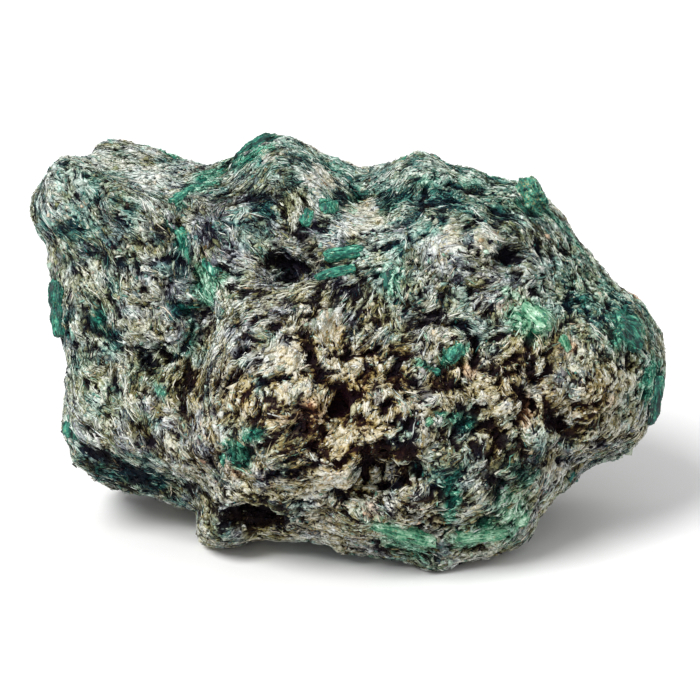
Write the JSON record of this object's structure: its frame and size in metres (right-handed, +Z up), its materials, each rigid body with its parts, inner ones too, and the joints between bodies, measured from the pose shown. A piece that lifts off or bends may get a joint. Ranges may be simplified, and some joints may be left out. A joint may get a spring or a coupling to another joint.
{
  "type": "emerald in matrix",
  "caption": "Hand-sized lump of dark mica schist, rough and flaky all over, with green emerald crystals grown into it.",
  "frame": {"origin": "on the surface the stone rests on, under the middle of its bounding box", "axes": "+Z up, +X along the stone's longest side to the viewer's right, -Y towards the viewer of the broad face"},
  "size_m": [0.0649, 0.044, 0.0408],
  "materials": {
    "schist": "rough fractured mica schist, silvery glints",
    "emerald_deep": "dark blue-green beryl, satin broken faces",
    "emerald_green": "green beryl, satin broken faces",
    "emerald_pale": "pale green beryl, sugary broken faces"
  },
  "bodies": {
    "root": {"matrix": "schist", "crest_emerald": "emerald_deep", "seam_emerald": "emerald_green", "blade_emerald": "emerald_green", "step_emerald": "emerald_green", "round_emerald": "emerald_green", "grain_emerald": "emerald_green", "twin_emerald_upper": "emerald_green", "twin_emerald_lower": "emerald_green", "column_emerald": "emerald_deep", "tip_emerald": "emerald_deep", "slope_emerald": "emerald_deep", "deep_emerald": "emerald_deep", "end_emerald": "emerald_deep", "lime_emerald": "emerald_pale", "lime_emerald_small": "emerald_pale", "bright_emerald": "emerald_green", "sliver_emerald": "emerald_green", "lobe_emerald_upper": "emerald_green", "lobe_emerald_lower": "emerald_green", "left_emerald": "emerald_deep", "heel_emerald": "emerald_deep", "keel_emerald_left": "emerald_pale", "keel_emerald_right": "emerald_pale", "mint_emerald": "emerald_pale", "cleft_emerald": "emerald_green", "pale_emerald": "emerald_pale", "back_emerald_upper": "emerald_green", "back_emerald_middle": "emerald_green", "back_emerald_left": "emerald_green", "back_emerald_lower": "emerald_green"}
  },
  "joints": []
}
